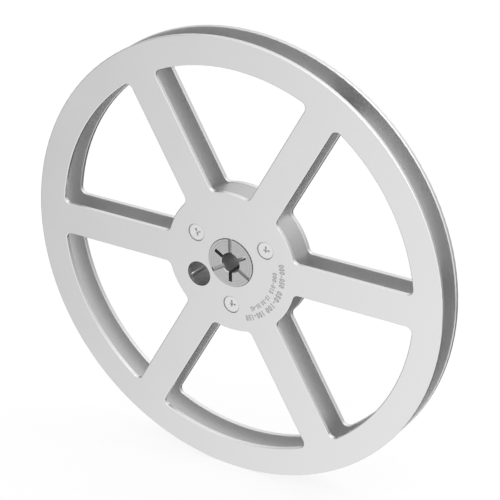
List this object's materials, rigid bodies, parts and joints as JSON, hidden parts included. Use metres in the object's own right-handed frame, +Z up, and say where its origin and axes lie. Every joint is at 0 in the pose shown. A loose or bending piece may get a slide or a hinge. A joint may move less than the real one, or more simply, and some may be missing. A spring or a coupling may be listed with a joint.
{
  "type": "cine film reel",
  "caption": "Aluminium cine film reel with two spoked flanges, a plain core, a keyed spindle bush and a film-end hole.",
  "frame": {"origin": "centre of the reel, on the spindle axis, half way between the flanges", "axes": "the spindle axis lies along Y; -Y is out of the front face, which has the film-end hole; +Z is up"},
  "size_m": [0.18, 0.0134, 0.18],
  "materials": {
    "flange_aluminium": "fine bead-blasted, satin",
    "core_aluminium": "turned, satin",
    "bush_steel": "turned, fine machining marks",
    "screw_steel": "bright zinc, satin",
    "scale_ink": "screen-printed ink, matt, of the film scale on the front hub"
  },
  "bodies": {
    "root": {"front_flange": "flange_aluminium", "back_flange": "flange_aluminium", "core": "core_aluminium", "spindle_bush": "bush_steel", "front_screw_1": "screw_steel", "front_screw_2": "screw_steel", "front_screw_3": "screw_steel", "back_screw_1": "screw_steel", "back_screw_2": "screw_steel", "back_screw_3": "screw_steel"}
  },
  "joints": []
}
